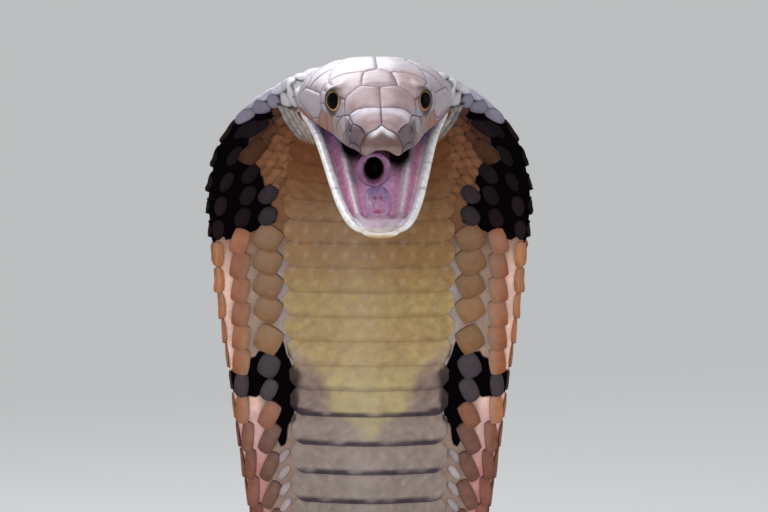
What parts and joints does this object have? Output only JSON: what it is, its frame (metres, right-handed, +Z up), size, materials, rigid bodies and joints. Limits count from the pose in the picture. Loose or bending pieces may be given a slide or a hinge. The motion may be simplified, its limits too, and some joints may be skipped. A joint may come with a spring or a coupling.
{
  "type": "king cobra museum model",
  "caption": "Life-size king cobra at rest in a loose coil, forebody reared, hood spread and mouth open, made as a still model.",
  "frame": {"origin": "centre of the bounding box, on the floor that the animal lies on", "axes": "+Z up, the head and the open mouth face -Y, +X is the animal's left"},
  "size_m": [0.518, 0.4594, 0.4712],
  "materials": {
    "head_scales": "smooth glossy head plates",
    "body_scales": "overlapping satin scales",
    "mouth_lining": "wet pink flesh",
    "eye": "polished, dark pupil in a golden ring"
  },
  "bodies": {
    "root": {"head": "head_scales", "eye_left": "eye", "eye_right": "eye", "lower_jaw": "head_scales", "windpipe": "mouth_lining", "hood_crown": "body_scales", "hood_spread": "body_scales", "neck": "body_scales", "forebody_upper": "body_scales", "forebody_lower": "body_scales", "body_bend_1": "body_scales", "body_bend_2": "body_scales", "body_coil_1": "body_scales", "body_coil_2": "body_scales", "body_coil_3": "body_scales", "body_coil_4": "body_scales", "body_coil_5": "body_scales", "body_coil_6": "body_scales", "body_coil_7": "body_scales", "body_coil_8": "body_scales", "body_coil_9": "body_scales", "tail_base": "body_scales", "tail_tip": "body_scales"}
  },
  "joints": []
}
